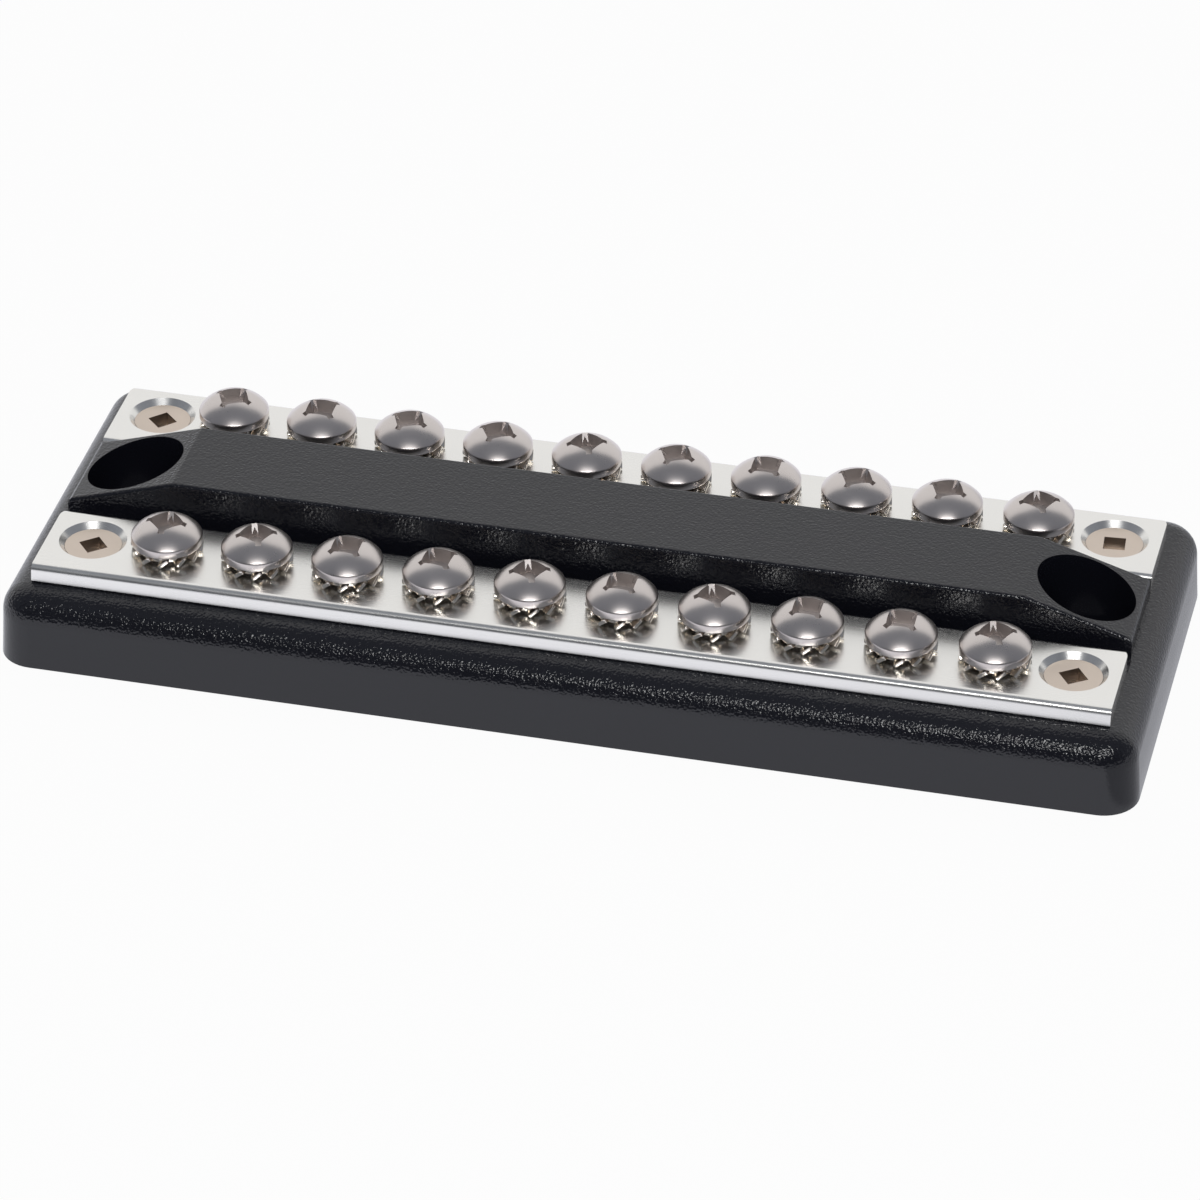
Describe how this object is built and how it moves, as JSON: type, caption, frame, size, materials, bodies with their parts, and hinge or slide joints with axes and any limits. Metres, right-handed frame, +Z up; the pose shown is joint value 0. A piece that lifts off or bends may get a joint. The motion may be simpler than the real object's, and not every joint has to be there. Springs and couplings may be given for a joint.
{
  "type": "bus bar",
  "caption": "Black moulded base with a raised centre ridge between flat plated bars, each carrying a row of pan-head terminal screws with lock washers; counterbored mounting holes.",
  "frame": {"origin": "centre of the base's underside", "axes": "+X along the bars, -Y towards the front bar, +Z up out of the mounting surface"},
  "size_m": [0.1484, 0.0556, 0.0171],
  "materials": {
    "base_plastic": "black moulded plastic with a fine grain",
    "bar_plating": "bright satin plating",
    "screw_steel": "polished metal",
    "washer_plating": "bright plating with a warm tint",
    "fixing_plating": "satin plating with a warm tint"
  },
  "bodies": {
    "base": {"base": "base_plastic", "front_bar": "bar_plating", "rear_bar": "bar_plating", "front_fixing_screw_left": "fixing_plating", "front_fixing_screw_right": "fixing_plating", "rear_fixing_screw_left": "fixing_plating", "rear_fixing_screw_right": "fixing_plating"},
    "washer_front_01": {"front_lock_washer_01": "washer_plating"},
    "screw_front_01": {"front_terminal_screw_01": "screw_steel"},
    "washer_front_02": {"front_lock_washer_02": "washer_plating"},
    "screw_front_02": {"front_terminal_screw_02": "screw_steel"},
    "washer_front_03": {"front_lock_washer_03": "washer_plating"},
    "screw_front_03": {"front_terminal_screw_03": "screw_steel"},
    "washer_front_04": {"front_lock_washer_04": "washer_plating"},
    "screw_front_04": {"front_terminal_screw_04": "screw_steel"},
    "washer_front_05": {"front_lock_washer_05": "washer_plating"},
    "screw_front_05": {"front_terminal_screw_05": "screw_steel"},
    "washer_front_06": {"front_lock_washer_06": "washer_plating"},
    "screw_front_06": {"front_terminal_screw_06": "screw_steel"},
    "washer_front_07": {"front_lock_washer_07": "washer_plating"},
    "screw_front_07": {"front_terminal_screw_07": "screw_steel"},
    "washer_front_08": {"front_lock_washer_08": "washer_plating"},
    "screw_front_08": {"front_terminal_screw_08": "screw_steel"},
    "washer_front_09": {"front_lock_washer_09": "washer_plating"},
    "screw_front_09": {"front_terminal_screw_09": "screw_steel"},
    "washer_front_10": {"front_lock_washer_10": "washer_plating"},
    "screw_front_10": {"front_terminal_screw_10": "screw_steel"},
    "washer_rear_01": {"rear_lock_washer_01": "washer_plating"},
    "screw_rear_01": {"rear_terminal_screw_01": "screw_steel"},
    "washer_rear_02": {"rear_lock_washer_02": "washer_plating"},
    "screw_rear_02": {"rear_terminal_screw_02": "screw_steel"},
    "washer_rear_03": {"rear_lock_washer_03": "washer_plating"},
    "screw_rear_03": {"rear_terminal_screw_03": "screw_steel"},
    "washer_rear_04": {"rear_lock_washer_04": "washer_plating"},
    "screw_rear_04": {"rear_terminal_screw_04": "screw_steel"},
    "washer_rear_05": {"rear_lock_washer_05": "washer_plating"},
    "screw_rear_05": {"rear_terminal_screw_05": "screw_steel"},
    "washer_rear_06": {"rear_lock_washer_06": "washer_plating"},
    "screw_rear_06": {"rear_terminal_screw_06": "screw_steel"},
    "washer_rear_07": {"rear_lock_washer_07": "washer_plating"},
    "screw_rear_07": {"rear_terminal_screw_07": "screw_steel"},
    "washer_rear_08": {"rear_lock_washer_08": "washer_plating"},
    "screw_rear_08": {"rear_terminal_screw_08": "screw_steel"},
    "washer_rear_09": {"rear_lock_washer_09": "washer_plating"},
    "screw_rear_09": {"rear_terminal_screw_09": "screw_steel"},
    "washer_rear_10": {"rear_lock_washer_10": "washer_plating"},
    "screw_rear_10": {"rear_terminal_screw_10": "screw_steel"}
  },
  "joints": [
    {"name": "rise_front_01", "type": "slide", "parent": "base", "child": "washer_front_01", "axis": [0, 0, 1], "range_m": [0, 0.00635]},
    {"name": "turn_front_01", "type": "hinge", "parent": "washer_front_01", "child": "screw_front_01", "pos_m": [-0.054, -0.01545, 0.0126], "axis": [0, 0, 1], "range_deg": [0, 2880]},
    {"name": "rise_front_02", "type": "slide", "parent": "base", "child": "washer_front_02", "axis": [0, 0, 1], "range_m": [0, 0.00635]},
    {"name": "turn_front_02", "type": "hinge", "parent": "washer_front_02", "child": "screw_front_02", "pos_m": [-0.042, -0.01545, 0.0126], "axis": [0, 0, 1], "range_deg": [0, 2880]},
    {"name": "rise_front_03", "type": "slide", "parent": "base", "child": "washer_front_03", "axis": [0, 0, 1], "range_m": [0, 0.00635]},
    {"name": "turn_front_03", "type": "hinge", "parent": "washer_front_03", "child": "screw_front_03", "pos_m": [-0.03, -0.01545, 0.0126], "axis": [0, 0, 1], "range_deg": [0, 2880]},
    {"name": "rise_front_04", "type": "slide", "parent": "base", "child": "washer_front_04", "axis": [0, 0, 1], "range_m": [0, 0.00635]},
    {"name": "turn_front_04", "type": "hinge", "parent": "washer_front_04", "child": "screw_front_04", "pos_m": [-0.018, -0.01545, 0.0126], "axis": [0, 0, 1], "range_deg": [0, 2880]},
    {"name": "rise_front_05", "type": "slide", "parent": "base", "child": "washer_front_05", "axis": [0, 0, 1], "range_m": [0, 0.00635]},
    {"name": "turn_front_05", "type": "hinge", "parent": "washer_front_05", "child": "screw_front_05", "pos_m": [-0.006, -0.01545, 0.0126], "axis": [0, 0, 1], "range_deg": [0, 2880]},
    {"name": "rise_front_06", "type": "slide", "parent": "base", "child": "washer_front_06", "axis": [0, 0, 1], "range_m": [0, 0.00635]},
    {"name": "turn_front_06", "type": "hinge", "parent": "washer_front_06", "child": "screw_front_06", "pos_m": [0.006, -0.01545, 0.0126], "axis": [0, 0, 1], "range_deg": [0, 2880]},
    {"name": "rise_front_07", "type": "slide", "parent": "base", "child": "washer_front_07", "axis": [0, 0, 1], "range_m": [0, 0.00635]},
    {"name": "turn_front_07", "type": "hinge", "parent": "washer_front_07", "child": "screw_front_07", "pos_m": [0.018, -0.01545, 0.0126], "axis": [0, 0, 1], "range_deg": [0, 2880]},
    {"name": "rise_front_08", "type": "slide", "parent": "base", "child": "washer_front_08", "axis": [0, 0, 1], "range_m": [0, 0.00635]},
    {"name": "turn_front_08", "type": "hinge", "parent": "washer_front_08", "child": "screw_front_08", "pos_m": [0.03, -0.01545, 0.0126], "axis": [0, 0, 1], "range_deg": [0, 2880]},
    {"name": "rise_front_09", "type": "slide", "parent": "base", "child": "washer_front_09", "axis": [0, 0, 1], "range_m": [0, 0.00635]},
    {"name": "turn_front_09", "type": "hinge", "parent": "washer_front_09", "child": "screw_front_09", "pos_m": [0.042, -0.01545, 0.0126], "axis": [0, 0, 1], "range_deg": [0, 2880]},
    {"name": "rise_front_10", "type": "slide", "parent": "base", "child": "washer_front_10", "axis": [0, 0, 1], "range_m": [0, 0.00635]},
    {"name": "turn_front_10", "type": "hinge", "parent": "washer_front_10", "child": "screw_front_10", "pos_m": [0.054, -0.01545, 0.0126], "axis": [0, 0, 1], "range_deg": [0, 2880]},
    {"name": "rise_rear_01", "type": "slide", "parent": "base", "child": "washer_rear_01", "axis": [0, 0, 1], "range_m": [0, 0.00635]},
    {"name": "turn_rear_01", "type": "hinge", "parent": "washer_rear_01", "child": "screw_rear_01", "pos_m": [-0.054, 0.01545, 0.0126], "axis": [0, 0, 1], "range_deg": [0, 2880]},
    {"name": "rise_rear_02", "type": "slide", "parent": "base", "child": "washer_rear_02", "axis": [0, 0, 1], "range_m": [0, 0.00635]},
    {"name": "turn_rear_02", "type": "hinge", "parent": "washer_rear_02", "child": "screw_rear_02", "pos_m": [-0.042, 0.01545, 0.0126], "axis": [0, 0, 1], "range_deg": [0, 2880]},
    {"name": "rise_rear_03", "type": "slide", "parent": "base", "child": "washer_rear_03", "axis": [0, 0, 1], "range_m": [0, 0.00635]},
    {"name": "turn_rear_03", "type": "hinge", "parent": "washer_rear_03", "child": "screw_rear_03", "pos_m": [-0.03, 0.01545, 0.0126], "axis": [0, 0, 1], "range_deg": [0, 2880]},
    {"name": "rise_rear_04", "type": "slide", "parent": "base", "child": "washer_rear_04", "axis": [0, 0, 1], "range_m": [0, 0.00635]},
    {"name": "turn_rear_04", "type": "hinge", "parent": "washer_rear_04", "child": "screw_rear_04", "pos_m": [-0.018, 0.01545, 0.0126], "axis": [0, 0, 1], "range_deg": [0, 2880]},
    {"name": "rise_rear_05", "type": "slide", "parent": "base", "child": "washer_rear_05", "axis": [0, 0, 1], "range_m": [0, 0.00635]},
    {"name": "turn_rear_05", "type": "hinge", "parent": "washer_rear_05", "child": "screw_rear_05", "pos_m": [-0.006, 0.01545, 0.0126], "axis": [0, 0, 1], "range_deg": [0, 2880]},
    {"name": "rise_rear_06", "type": "slide", "parent": "base", "child": "washer_rear_06", "axis": [0, 0, 1], "range_m": [0, 0.00635]},
    {"name": "turn_rear_06", "type": "hinge", "parent": "washer_rear_06", "child": "screw_rear_06", "pos_m": [0.006, 0.01545, 0.0126], "axis": [0, 0, 1], "range_deg": [0, 2880]},
    {"name": "rise_rear_07", "type": "slide", "parent": "base", "child": "washer_rear_07", "axis": [0, 0, 1], "range_m": [0, 0.00635]},
    {"name": "turn_rear_07", "type": "hinge", "parent": "washer_rear_07", "child": "screw_rear_07", "pos_m": [0.018, 0.01545, 0.0126], "axis": [0, 0, 1], "range_deg": [0, 2880]},
    {"name": "rise_rear_08", "type": "slide", "parent": "base", "child": "washer_rear_08", "axis": [0, 0, 1], "range_m": [0, 0.00635]},
    {"name": "turn_rear_08", "type": "hinge", "parent": "washer_rear_08", "child": "screw_rear_08", "pos_m": [0.03, 0.01545, 0.0126], "axis": [0, 0, 1], "range_deg": [0, 2880]},
    {"name": "rise_rear_09", "type": "slide", "parent": "base", "child": "washer_rear_09", "axis": [0, 0, 1], "range_m": [0, 0.00635]},
    {"name": "turn_rear_09", "type": "hinge", "parent": "washer_rear_09", "child": "screw_rear_09", "pos_m": [0.042, 0.01545, 0.0126], "axis": [0, 0, 1], "range_deg": [0, 2880]},
    {"name": "rise_rear_10", "type": "slide", "parent": "base", "child": "washer_rear_10", "axis": [0, 0, 1], "range_m": [0, 0.00635]},
    {"name": "turn_rear_10", "type": "hinge", "parent": "washer_rear_10", "child": "screw_rear_10", "pos_m": [0.054, 0.01545, 0.0126], "axis": [0, 0, 1], "range_deg": [0, 2880]}
  ],
  "couplings": [
    {"joint": "turn_front_01", "follows": "rise_front_01", "rad_per_m": 7915.8},
    {"joint": "turn_front_02", "follows": "rise_front_02", "rad_per_m": 7915.8},
    {"joint": "turn_front_03", "follows": "rise_front_03", "rad_per_m": 7915.8},
    {"joint": "turn_front_04", "follows": "rise_front_04", "rad_per_m": 7915.8},
    {"joint": "turn_front_05", "follows": "rise_front_05", "rad_per_m": 7915.8},
    {"joint": "turn_front_06", "follows": "rise_front_06", "rad_per_m": 7915.8},
    {"joint": "turn_front_07", "follows": "rise_front_07", "rad_per_m": 7915.8},
    {"joint": "turn_front_08", "follows": "rise_front_08", "rad_per_m": 7915.8},
    {"joint": "turn_front_09", "follows": "rise_front_09", "rad_per_m": 7915.8},
    {"joint": "turn_front_10", "follows": "rise_front_10", "rad_per_m": 7915.8},
    {"joint": "turn_rear_01", "follows": "rise_rear_01", "rad_per_m": 7915.8},
    {"joint": "turn_rear_02", "follows": "rise_rear_02", "rad_per_m": 7915.8},
    {"joint": "turn_rear_03", "follows": "rise_rear_03", "rad_per_m": 7915.8},
    {"joint": "turn_rear_04", "follows": "rise_rear_04", "rad_per_m": 7915.8},
    {"joint": "turn_rear_05", "follows": "rise_rear_05", "rad_per_m": 7915.8},
    {"joint": "turn_rear_06", "follows": "rise_rear_06", "rad_per_m": 7915.8},
    {"joint": "turn_rear_07", "follows": "rise_rear_07", "rad_per_m": 7915.8},
    {"joint": "turn_rear_08", "follows": "rise_rear_08", "rad_per_m": 7915.8},
    {"joint": "turn_rear_09", "follows": "rise_rear_09", "rad_per_m": 7915.8},
    {"joint": "turn_rear_10", "follows": "rise_rear_10", "rad_per_m": 7915.8}
  ]
}
